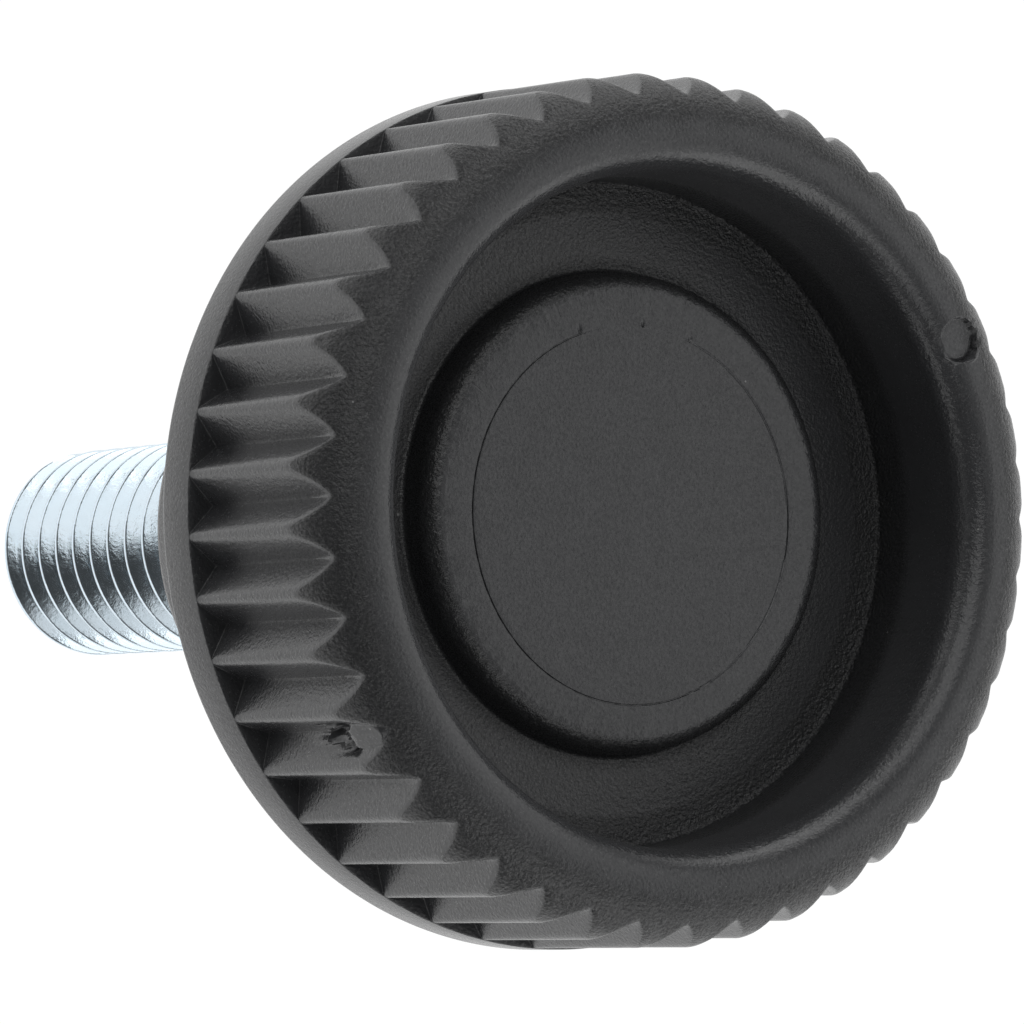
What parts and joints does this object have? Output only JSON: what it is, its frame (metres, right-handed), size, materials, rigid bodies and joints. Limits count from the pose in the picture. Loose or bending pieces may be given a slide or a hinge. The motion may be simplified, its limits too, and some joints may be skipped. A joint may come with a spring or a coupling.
{
  "type": "knurled knob",
  "caption": "Round clamping knob with a V-grooved knurled rim, a dished front and a steel threaded stud moulded into its rear hub.",
  "frame": {"origin": "centre of the seat, the flat face at the rear of the hub where the stud leaves it", "axes": "+Z along the knob's axis and out of its dished front; the stud points along -Z. X and Y are free, because the knob is round"},
  "size_m": [0.0226, 0.0226, 0.0317],
  "materials": {
    "head_plastic": "matte black moulded plastic, finely eroded texture",
    "stud_steel": "bright zinc plated, bluish"
  },
  "bodies": {
    "root": {"knob_head": "head_plastic", "threaded_stud": "stud_steel"}
  },
  "joints": []
}
